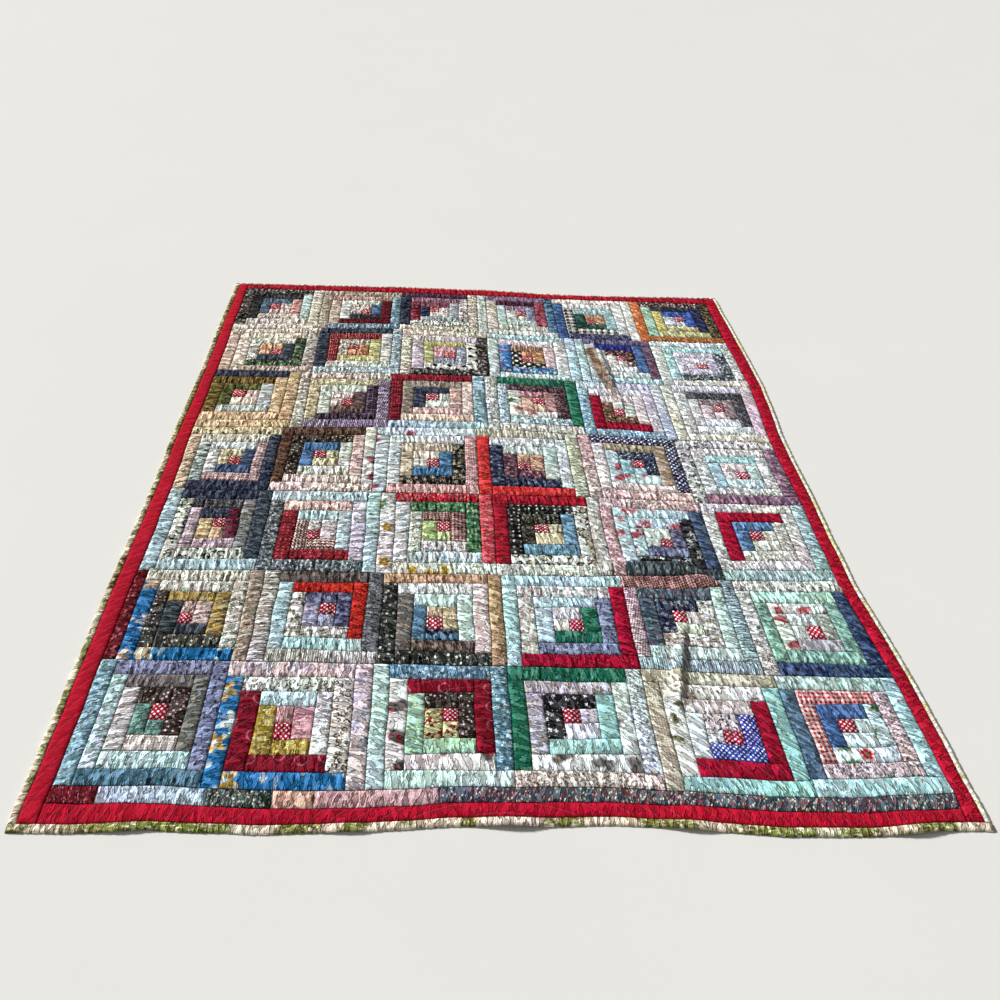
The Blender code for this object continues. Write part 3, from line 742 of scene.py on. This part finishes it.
def sewSheet(node, columns, rows, toPattern, cloths, unit, heightOf):
    # columns and rows are the lines of the sheet's mesh in its own units, cloths the rectangles
    # of its scraps with their fabrics, and unit the size of its units in metres
    bpy.ops.mesh.primitive_grid_add(x_subdivisions=len(columns) - 1, y_subdivisions=len(rows) - 1, size=1)
    piece = bpy.context.object
    mesh = piece.data
    piece.name = mesh.name = node + "_cloth"
    corners = read(mesh.vertices, "co", 3)
    across, up = [
        np.asarray(lines)[np.rint((corners[:, side] + 0.5) * (len(lines) - 1)).astype(int)]
        for side, lines in enumerate((columns, rows))
    ]
    x, y = laid(*toPattern(across, up))
    floor = lift(x, y)
    corners[:, 0], corners[:, 1], corners[:, 2] = x, y, floor
    mesh.vertices.foreach_set("co", corners.ravel())
    keep(mesh, across=across, up=up)

    bpy.ops.object.mode_set(mode="EDIT")
    bpy.ops.mesh.select_all(action="SELECT")
    bpy.ops.mesh.extrude_region_move(TRANSFORM_OT_translate={"value": (0, 0, sewing["layers"])})
    bpy.ops.mesh.select_all(action="SELECT")
    bpy.ops.mesh.normals_make_consistent(inside=False)
    bpy.ops.mesh.select_all(action="DESELECT")
    bpy.ops.object.mode_set(mode="OBJECT")
    if not floor.any():
        mergeUnderside(mesh)

    across, up = [read(mesh.attributes[label].data, "value") for label in ("across", "up")]
    raiseTop(mesh, node, across, up, cloths, heightOf)
    dress(mesh, across, up, cloths, unit)
    for label in ("across", "up"):
        mesh.attributes.remove(mesh.attributes[label])
    bpy.ops.object.shade_smooth_by_angle(angle=math.radians(sewing["sharpAngle"]))
    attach(piece, "root")
    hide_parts(node)
    piece.select_set(False)


def mergeUnderside(mesh):
    # an underside that lies flat on the floor is one face
    mesh.polygons.foreach_set("select", read(mesh.polygons, "normal", 3)[:, 2] < -0.9)
    bpy.ops.object.mode_set(mode="EDIT")
    bpy.ops.mesh.dissolve_faces()
    bpy.ops.mesh.select_all(action="DESELECT")
    bpy.ops.object.mode_set(mode="OBJECT")


def inside(across, up, rectangle):
    left, bottom, right, top = rectangle
    return (across >= left) & (across <= right) & (up >= bottom) & (up <= top)


def raiseTop(mesh, node, across, up, cloths, heightOf):
    corners = read(mesh.vertices, "co", 3)
    top = corners[:, 2] > sewing["layers"] / 2
    seam, crest = np.ones(len(top), np.float32), np.full(len(top), 0.5, np.float32)
    shade = shadeOf(corners[:, 0].astype(float), corners[:, 1].astype(float))
    for number, (rectangle, _) in enumerate(cloths):
        here = top & inside(across, up, rectangle)
        x, y = corners[here, 0], corners[here, 1]
        height, seam[here], crest[here] = heightOf(x, y, across[here], up[here], rectangle, number)
        corners[here, 2] = lift(x.astype(float), y.astype(float)) + height
    for side, middle in enumerate(patchwork["middle"]):
        corners[:, side] -= middle
    mesh.vertices.foreach_set("co", corners.ravel())
    mesh.update()
    gather = np.full(len(top), quilting["gather"].get(node, 1.0))
    keep(mesh, seam=seam, crest=crest, shade=shade, gather=gather)


def dress(mesh, across, up, cloths, unit):
    # gives each scrap its fabric, cut along its length from somewhere on the cloth
    starts, totals = [read(mesh.polygons, label, kind=np.int32) for label in ("loop_start", "loop_total")]
    corner = read(mesh.loops, "vertex_index", kind=np.int32)
    upward = read(mesh.polygons, "normal", 3)[:, 2] >= -0.5
    faceOf = np.repeat(np.arange(len(totals)), totals)
    middleAcross, middleUp = [np.add.reduceat(part[corner], starts) / totals for part in (across, up)]
    places = read(mesh.vertices, "co", 3)[corner, :2]
    chart, gathers = places.copy(), places.copy()
    index = np.zeros(len(totals), np.int32)
    mesh.materials.clear()
    mesh.materials.append(cotton(sewing["backing"], quilted=False))
    names = [sewing["backing"]]
    for rectangle, fabric in cloths:
        left, bottom, right, top = rectangle
        here = upward & inside(middleAcross, middleUp, rectangle)
        if fabric not in names:
            names.append(fabric)
            mesh.materials.append(cotton(fabric))
        index[here] = names.index(fabric)
        shift = draws.uniform(*sewing["cutFrom"], 2)
        cut = here[faceOf]
        along, aside = (across[corner[cut]] - left) * unit[0], (up[corner[cut]] - bottom) * unit[1]
        alongX = (right - left) * unit[0] >= (top - bottom) * unit[1]
        lean = leanAt(places[cut, 0].mean(), places[cut, 1].mean(), alongX)
        if not alongX:
            along, aside = aside, along
        chart[cut, 0], chart[cut, 1] = shift[0] + along, shift[1] + aside
        gathers[cut, 0], gathers[cut, 1] = shift[0] + along + lean * aside, shift[1] + aside
    mesh.polygons.foreach_set("material_index", index)
    mesh.uv_layers[0].name = "cloth"
    mesh.uv_layers["cloth"].data.foreach_set("uv", chart.ravel())
    mesh.uv_layers.new(name="gathers").data.foreach_set("uv", gathers.ravel())


# ---- the log cabin blocks
blockWork = {
    "rounds": 3,
    "centre": "crimson dots white",
    "unevenness": (0.075, 0.012),  # of the log seams, in log widths, and their slope
    "seed": 100,
    "order": {                   # two light logs and then two dark ones in each round
        "TR": ("bottom", "left", "top", "right"),
        "TL": ("right", "bottom", "left", "top"),
        "BL": ("top", "right", "bottom", "left"),
        "BR": ("left", "top", "right", "bottom"),
    },
    "opposite": {"left": "right", "right": "left", "top": "bottom", "bottom": "top"},
    "inRow": 6,
}
# the corner that the dark logs face | dark fabrics | light fabrics, from the centre outwards,
# where "a / b" is one for the log of the round that is sewn first and one for the other
blockFabrics = (
    # row 1
    "TL | slate mottle steel, charcoal fleck black, espresso floral ash taupe 16 / charcoal floral ash"
    " grey 14 | white fine rose, pink fine blush / blush fine ash, ice fine aqua / white fine ash, white"
    " scroll tan 22",
    "BR | slate mottle cornflower / espresso fine slate, garnet mottle maroon, sky mottle steel / steel"
    " fleck ice 7 | white fine brown, ice mottle white, tan stripe white 9 / blush stripe taupe 9, stone"
    " scroll white brown",
    "TL | purple mottle navy / plum fine rose, garnet floral mauve 12 / mauve floral dustyPink, navy"
    " fleck slate / plum fine purple | white fine lilac, ice stripe grey 9, white fleck charcoal 9, white"
    " fleck khaki 9",
    "TR | mauve fine lilac / dusk fine lilac, maroon fine plum / garnet mottle rose, mauve fine lavender"
    " / steel fine denim | white fine mint, ice fine mint, white stripe stone, white leaf sage",
    "BL | forest mottle emerald / emerald mottle forest, white check black 24, navy floral lavender /"
    " denim fine cornflower | peach floral brown, aqua fine ice, white fine lilac, white fine blush",
    "TR | cornflower mottle royal, charcoal fine navy / indigo mottle navy, espresso floral blush brown /"
    " espresso floral tan olive | white fine lightBlue, straw leaf olive cream / yellow mottle straw,"
    " straw leaf lime / mint fine lime, rust floral gold / orange floral peach 18",
    # row 2
    "BR | slate fine navy, darkGreen floral lime green 16, stone mottle white taupe | peach floral rust"
    " cream, white leaf sage 16, white stripe blush 11, blush fleck stone 9 / white fleck ash 9",
    "TL | white leaf charcoal black 18, brick specks blush 8, slate mottle navy | peach mottle rust,"
    " straw leaf lime cream, white fleck sky 9, steel mottle ice / ice fine steel",
    "BR | dusk fine white, white dots black 36, espresso floral ash black 16 | pink fine blush, straw"
    " leaf lime 18, white stripe lilac 12, white fleck tan 8",
    "BL | black dots white 24, azure floral ice red 18, aqua mottle white | peach stripe rust 14, peach"
    " stripe brown 14 / blush fine white, white floral lilac, ice stripe sky 11",
    "TR | espresso floral blush rose 18, indigo mottle royal / cornflower mottle denim, lavender stripe"
    " indigo 10 / mauve stripe plum 10 | white leaf cream blush 16, white fine ice, ice stripe white 12,"
    " sky stripe ice 13",
    "BR | lilac floral white, slate floral white navy 13, white floral charcoal ash 14 / white fleck"
    " straw 9 | white fine lilac, white stripe lilac 14, ice mottle aqua, white fine ice",
    # row 3
    "TL | olive leaf green darkGreen 16, olive stripe brown gold 9, navy fine slate | blush stripe white"
    " 11, ice stripe ash 9, cream stripe peach 13, beige stripe peach 16 / peach stripe cream 12",
    "BR | taupe stripe plum 11, purple plaid black mauve 15, plum tooth lilac 9 | white fine blush, white"
    " fine mint, cream leaf khaki sage 18, white spot khaki brown 14",
    "TL | slate mottle navy, stone stripe taupe 8, garnet specks rose 8 | white fine mint, blush floral"
    " rust peach 15, white stripe blush 12 / cream stripe blush 12, ice mottle steel / lightBlue mottle"
    " ice",
    "TR | dustyPink floral plum, espresso floral mauve dustyPink, emerald fine green | peach fine blush,"
    " white bloom rose green 45, ice leaf steel slate 20, white leaf tan stone 24 / white leaf grey 18",
    "BL | brown floral peach tan, crimson mottle garnet, lightBlue floral white denim 13 | white fine"
    " mint, white stripe blush 12, white stripe lilac 12, lilac stripe ice 14",
    "TR | stone mottle mauve, charcoal fleck grey 6, lilac stripe white 14 / blush fine lilac | white"
    " fine pink, white fine lilac, white leaf ice ash 18, white stripe cream 12",
    # row 4
    "BR | slate mottle denim, mauve check blush 11, navy fleck slate 6 | cream scroll brown 16, ice"
    " stripe white 12, ice stripe grey 14 / white stripe ash 12, cream stripe beige 12 / cream scroll"
    " brown 30",
    "TL | steel mottle cornflower, black buds cream brown 11, brown floral espresso rust 14 / brown"
    " floral espresso taupe 13 | cream leaf straw white, white floral lime sky 20, white stripe dustyPink"
    " 13, white motif crimson grey 70 / white fleck dustyPink 8",
    "BR | azure mottle steel, black floral beige taupe 17, rose check blush 7 | cream stripe white 12,"
    " cream stripe stone 11, ice stripe white 12, ice motif crimson slate 80",
    "BL | plum floral dustyPink black 14, navy floral dusk black 15, cherry mottle scarlet | peach floral"
    " plum, mint mottle white, white leaf ice sage 16, white stripe khaki 17",
    "TR | navy scroll ice teal 15, tan mottle stone, indigo dots white 12 | ice mottle aqua, ice motif"
    " crimson rose 70, white stripe blush 12, blush floral brown rust 12",
    "BR | aqua mottle white, white floral grey 12, mauve floral dustyPink plum 15 | white fine pink, ice"
    " mottle aqua, white fleck ash 9, white spot brown black 20",
    # row 5
    "TR | navy check slate 11 / garnet plaid plum black 13, charcoal fleck grey 6 / charcoal stripe ash"
    " 5, navy fine slate / slate fine navy | peach plaid cream gold 11, blush check lavender 10, white"
    " spot espresso sage 25, ice mottle sky",
    "BL | brown zigzag blush 10, brick specks rose 12, slate fleck ash 8 | white floral rose brown 12,"
    " ice fine aqua, blush floral rust white 17 / white stripe lilac 12, sky mottle ice",
    "TR | espresso check dustyPink 9, green leaf lime darkGreen 22, red floral rose peach 17 / cherry"
    " floral rose peach 17 | straw mottle lime, white leaf sage dustyPink 16, white floral lightBlue ash"
    " 24, white bloom green gold 48",
    "TL | black buds stone olive 12, black specks white 17, brick mottle red | cream floral peach tan 15,"
    " lightBlue mottle steel, white spot espresso gold 27, white leaf sage straw 18",
    "BR | purple mottle dusk, black floral white grey 26, denim mottle slate / slate floral taupe ash 20"
    " | ice mottle white, ice motif crimson blush 90, ice motif crimson blush 80, blush floral brick"
    " brown 12",
    "TL | cornflower mottle steel, crimson fine garnet, white floral mauve ash 15 | white fine straw,"
    " white fine khaki, white floral dustyPink lilac 13, ice stripe sage 10",
    # row 6
    "BL | slate stripe charcoal 9, charcoal buds white olive 14, azure bloom peach ice 62 | blush floral"
    " brown taupe 12, gold mottle khaki, white floral green dustyPink 18, white fleck stone 9 / stone"
    " floral dustyPink brown 15",
    "TR | dusk mottle purple, scarlet fleck brick 8, taupe mottle charcoal / grey fine charcoal | lilac"
    " mottle dusk, white leaf olive brown 24, ice mottle sky, white stripe taupe 10",
    "BL | steel zigzag black 34 / steel fine denim, espresso mottle taupe / taupe mottle grey, forest"
    " buds white espresso 18 | beige leaf tan peach 16, paleMint mottle ice, white fleck ash 9 / white"
    " mottle blush, caramel mottle peach",
    "BR | emerald fine green, dusk scroll navy lavender 20, crimson fine garnet | white fine lilac,"
    " periwinkle mottle ice, white leaf dustyPink sage 24, sky mottle ice",
    "TL | navy floral ash slate 14, slate floral mauve sage 18, mauve tooth blush 9 / brown tooth"
    " dustyPink 9 | white fine beige, white leaf tan brown 22, ice mottle paleMint, ice stripe slate 9",
    "BR | ash fine stone, mint mottle sage, denim mottle navy | white fine mint, white motif red rose 60,"
    " mint mottle sage / mint mottle paleMint, white floral brown tan 16",
    # row 7
    "TR | espresso buds blush brown 13, taupe mottle grey, dusk scroll navy lavender 24 | sage fine teal,"
    " stone check white 6 / stone stripe white 9, ice leaf sage mint 26, teal mottle steel / steel mottle"
    " sky",
    "BL | gold leaf straw olive 16, garnet rings rose crimson 52, azure bloom gold ice 70 | pink floral"
    " rose blush 14, ice fine aqua / white leaf blush mint 16, white spot espresso tan 16, blush bouquet"
    " lavender steel 42",
    "TR | espresso buds white brown 14, garnet rings rose crimson 52, steel floral ice teal 13 | straw"
    " fleck brick 12, lime mottle mint, white motif espresso brick 80, paleMint mottle ice",
    "TL | black buds white charcoal 22, lilac mottle stone, emerald fine green | lilac mottle white, aqua"
    " mottle mint, white motif espresso taupe 75, white fleck dusk 7 / blush fleck taupe 7",
    "BR | royal dots white 8, garnet mottle crimson, mint mottle aqua | white leaf slate grey 16 / white"
    " fleck slate 8, ice mottle white / stone mottle white, white motif olive brown 44 / white scroll"
    " taupe beige 28, cream check stone 6 / beige scroll white taupe 22",
    "TL | denim mottle cornflower, red check blush 11, slate mottle steel / sage mottle ice | white"
    " mottle ice, ice bloom red green 46, blush fleck grey 7, ice mottle aqua",
)


def logsOf(corner, leftOut):
    # the rectangles of the logs in log widths, with the fabric that each takes
    whole = {"left": 0, "bottom": 0, "right": 1, "top": 1}
    logs = [(tuple(whole.values()), ("centre", 0, 0))]
    order = blockWork["order"][corner]
    for number, side in enumerate(order * blockWork["rounds"] + order[:2]):
        turn, place = divmod(number, 4)
        fabric = ("light" if place < 2 else "dark", turn, place % 2)
        if side == leftOut and fabric[:2] == ("dark", blockWork["rounds"] - 1):
            continue
        log = {**whole, blockWork["opposite"][side]: whole[side]}
        whole[side] += -1 if side in ("left", "bottom") else 1
        log[side] = whole[side]
        logs.append((tuple(log.values()), fabric))
    return logs, tuple(whole.values())


def meshLines(start, end):
    lines = [start + whole + part for whole in range(end - start) for part in sewing["logLines"][:-1]]
    return [*lines, end]


def unevenSeams(start, end):
    # how far each seam inside a block lies off its true line, and how much it slopes
    seams = np.arange(start, end + 1)
    off = draws.uniform(-1, 1, (2, len(seams))) * np.array(blockWork["unevenness"])[:, None]
    off[:, [0, -1]] = 0
    return lambda place, beside: np.interp(place, seams, off[0]) + beside * np.interp(place, seams, off[1])


def sewBlock(row, place, words):
    corner, darks, lights = [part.strip() for part in words.split("|")]
    fabrics = {"dark": darks.split(", "), "light": lights.split(", "), "centre": [blockWork["centre"]]}
    leftOut = "left" if (row + 1, place + 1) == patchwork["shortBlock"] else None
    logs, (left, bottom, right, top) = logsOf(corner, leftOut)
    farX, nearX = [
        [seam[1], *patchwork["blockSeams"][row], seam[2]]
        for seam in patchwork["crossSeams"][row:row + 2]
    ]
    if row + 1 == patchwork["fillerRow"]:
        farX[0] = nearX[0] = patchwork["fillerSeam"]
    gap = patchwork["gap"] / 2
    width = nearX[place + 1] - nearX[place]
    depth = float(seamAt(row, farX[place]) - seamAt(row + 1, nearX[place]))
    unit = (width / (right - left), depth / (top - bottom))
    unevenX, unevenY = unevenSeams(left, right), unevenSeams(bottom, top)

    def toPattern(across, up):
        across, up = across + unevenX(across, up), up + unevenY(up, across)
        share = gap / width + (across - left) / (right - left) * (1 - 2 * gap / width)
        part = gap / depth + (up - bottom) / (top - bottom) * (1 - 2 * gap / depth)
        atNear, atFar = [seam[place] + share * (seam[place + 1] - seam[place]) for seam in (nearX, farX)]
        x = atNear + part * (atFar - atNear)
        return x, seamAt(row + 1, x) + part * (seamAt(row, x) - seamAt(row + 1, x))

    def heightOf(x, y, across, up, rectangle, number):
        logLeft, logBottom, logRight, logTop = rectangle
        sideways = np.minimum(across - logLeft, logRight - across) * unit[0]
        upwards = np.minimum(up - logBottom, logTop - up) * unit[1]
        alongX = logRight - logLeft >= logTop - logBottom
        return relief(x, y, np.minimum(sideways, upwards), alongX, blockWork["seed"] + number)

    cloths = []
    for rectangle, (kind, turn, second) in logs:
        choices = fabrics[kind][turn].split(" / ")
        cloths.append((rectangle, choices[min(second, len(choices) - 1)]))
    sewSheet(f"block_r{row + 1}_c{place + 1}", meshLines(left, right), meshLines(bottom, top), toPattern,
             cloths, unit, heightOf)


for number, words in enumerate(blockFabrics):
    row, place = divmod(number, blockWork["inRow"])
    sewBlock(row, place, words)
    if place == blockWork["inRow"] - 1:
        print("row", row + 1, "of the blocks sewn")


# ---- the strips round the blocks
strips = {
    "filler": "darkRed floral rose black 13",
    "border": {"left": "borderRed plain red", "right": "borderRed plain red",
               "near": "borderRed plain red", "far": "red floral brick garnet 9"},
    "binding": {"left": "cream foliage khaki moss 14", "near": "cream foliage moss olive 14",
                "right": "white mottle straw 40", "far": "cream mottle blush 40"},
    "footScraps": (              # node, where it ends, fabric
        ("foot_dark_red", -0.8155, "darkRed floral brick rose 9"),
        ("foot_pale_blue", -0.6085, "periwinkle floral white slate 9"),
        ("foot_green", -0.4835, "forest buds blush sage 12"),
        ("foot_peach", -0.4020, "peach floral rose blush 12"),
        ("foot_lavender", -0.1605, "dustyPink floral mauve lilac 13"),
        ("foot_dark_floral", None, "slate floral brick cream 13"),
    ),
    "seed": 40,
}


def sewStrip(node, fabric, inner, outer, length, width, acrossQuilt, bound=False):
    # a strip between two lines, each a function of the share of its length
    gap = patchwork["gap"] / 2
    columns = np.linspace(0, length, max(4, round(length / sewing["stripStep"])) + 1)
    rows = np.asarray(sewing["stripLines"]) * width

    def toPattern(along, across):
        share = (gap + along / length * (length - 2 * gap)) / length
        part = gap / width + across / width * (1 - 2 * gap / width)
        (innerX, innerY), (outerX, outerY) = inner(share), outer(share)
        return innerX + part * (outerX - innerX), innerY + part * (outerY - innerY)

    def heightOf(x, y, along, across, rectangle, number):
        distance = np.minimum(across, np.inf if bound else width - across)
        distance = np.minimum(distance, np.minimum(along, length - along))
        gather = quilting["gather"].get(node, 1.0)
        height, puff, crest = relief(x, y, distance, acrossQuilt, strips["seed"], gather)
        if bound:
            roll = np.clip((width - across) / quilting["edgeRoll"], 0, 1)
            roll = np.sqrt(1 - (1 - roll) ** 2)
            height = quilting["edgeHeight"] + (height - quilting["edgeHeight"]) * roll
        return height, puff, crest

    flatWidth = width + quilting["edgeTurn"] if bound else width
    sewSheet(node, columns, rows, toPattern, [((0, 0, length, width), fabric)], (1, 1), heightOf)


def lineOf(edge, start, end, acrossQuilt):
    # a strip's edge, which gives a y for every x across the quilt, or an x for every y down it
    def line(share):
        place = start + share * (end - start)
        return (place, edge(place)) if acrossQuilt else (edge(place), place)

    return line


def sewDown(node, fabric, inner, outer, far, near, bound=False):
    width = abs(float(outer(0.0)) - float(inner(0.0)))
    lines = [lineOf(edge, far, near, False) for edge in (inner, outer)]
    sewStrip(node, fabric, *lines, float(far - near), width, False, bound)


def sewAcross(node, fabric, inner, outer, start, end, bound=False):
    # its ends give an x for every y
    places = patchwork["places"]
    lines = [lineOf(edge, start(edge(places[0])), end(edge(places[-1])), True) for edge in (inner, outer)]
    length = float(end(inner(places[-1])) - start(inner(places[0])))
    width = float(np.mean([abs(outer(x) - inner(x)) for x in places]))
    sewStrip(node, fabric, *lines, length, width, True, bound)


def sewFiller():
    number, seam = patchwork["fillerRow"], patchwork["fillerSeam"]
    left = edgeOf("left")
    lines = []
    for edge in (lambda y: seam + 0 * y, left):
        x = edge(seamAt(number, seam))
        lines.append(lineOf(edge, seamAt(number - 1, x), seamAt(number, x), False))
    length, y = patchwork["fillerSize"]
    sewStrip("filler_strip", strips["filler"], *lines, length, seam - float(left(y)), False)


def sewFoot():
    start, number = edgeOf("left"), patchwork["footSeam"]
    for node, endX, fabric in strips["footScraps"]:
        end = edgeOf("right") if endX is None else lambda y, endX=endX: endX + 0 * y
        sewAcross(node, fabric, lambda x: seamAt(number, x), lambda x: seamAt(number + 1, x), start, end)
        start = end


def sewSide(side):
    place = patchwork["places"][0 if side == "left" else -1]
    ends = [course(patchwork[edge], place) for edge in ("farEdge", "nearEdge")]
    patches, border, binding = edgeOf(side), edgeOf(side, 1), edgeOf(side, 1, patchwork["bindings"][side])
    sewDown("border_" + side, strips["border"][side], patches, border, *ends)
    sewDown("binding_" + side, strips["binding"][side], border, binding, *ends, bound=True)


def sewEnd(end, number, outward):
    width = outward * patchwork["bindings"][end]
    left, right = [edgeOf(side, 1, patchwork["bindings"][side]) for side in ("left", "right")]
    sewAcross("border_" + end, strips["border"][end], lambda x: seamAt(number, x),
              lambda x: course(patchwork[end + "Edge"], x), edgeOf("left"), edgeOf("right"))
    sewAcross("binding_" + end, strips["binding"][end], lambda x: course(patchwork[end + "Edge"], x),
              lambda x: course(patchwork[end + "Edge"], x) + width, left, right, bound=True)


sewFiller()
sewFoot()
sewSide("left")
sewSide("right")
sewEnd("far", 0, 1)
sewEnd("near", patchwork["footSeam"] + 1, -1)
print("strips, border and binding sewn")


# ---- the studio
studio = {
    "cameraPlace": (-0.1816, -1.8509, 1.5013),
    "cameraTurn": (48.84, -3.75, -2.99),
    "camera": {"lens": 29.27, "sensor_width": 36, "clip_start": 0.05, "clip_end": 100},
    "floorSize": 120,
    "floorUnder": 0.0005,
    "floorColour": (0.79, 0.78, 0.745, 1),
    "floorTones": (0.0, 1.0, 0.985, 1.0),
    "floor": {"Roughness": 0.9, "Specular IOR Level": 0.1},
    "sky": {"Color": (1.0, 0.99, 0.97, 1), "Strength": 0.24},
    "keyTurn": (0, -62, -28),    # the key light comes low from the left and a little from behind
    "key": {"energy": 5.3, "angle": math.radians(8)},
}


def layFloor():
    bpy.ops.mesh.primitive_plane_add(size=studio["floorSize"], location=(0, 0, -studio["floorUnder"]))
    floor = bpy.context.object
    floor.name = "floor"
    bpy.ops.object.transform_apply(location=True)
    material = bpy.data.materials.new("pale floor")
    material.use_nodes = True
    shader = material.node_tree.nodes["Principled BSDF"]
    place = add("ShaderNodeTexCoord", tree=material.node_tree)[3]
    spread = ranged(noise(place, 2.0)[0], *studio["floorTones"])
    tone = add("ShaderNodeCombineColor", {0: spread, 1: spread, 2: spread})[0]
    colour = mixed(1.0, studio["floorColour"], tone, "MULTIPLY")
    material.node_tree.links.new(colour.socket, shader.inputs["Base Color"])
    for label, value in studio["floor"].items():
        shader.inputs[label].default_value = value
    floor.data.materials.append(material)


def setLights():
    world = bpy.data.worlds.new("studio")
    world.use_nodes = True
    for label, value in studio["sky"].items():
        world.node_tree.nodes["Background"].inputs[label].default_value = value
    bpy.context.scene.world = world
    turn = [math.radians(angle) for angle in studio["keyTurn"]]
    bpy.ops.object.light_add(type="SUN", location=(-3, 1, 3), rotation=turn)
    key = bpy.context.object
    key.name = "key"
    for setting, value in studio["key"].items():
        setattr(key.data, setting, value)


def setCamera():
    turn = Euler([math.radians(angle) for angle in studio["cameraTurn"]])
    bpy.ops.object.camera_add(location=studio["cameraPlace"], rotation=turn)
    camera = bpy.context.object
    camera.name = "camera"
    for setting, value in studio["camera"].items():
        setattr(camera.data, setting, value)
    bpy.context.scene.camera = camera


layFloor()
setLights()
setCamera()
bpy.context.scene.view_settings.view_transform = "Standard"
bpy.context.scene.view_settings.look = "None"
print("studio lit")
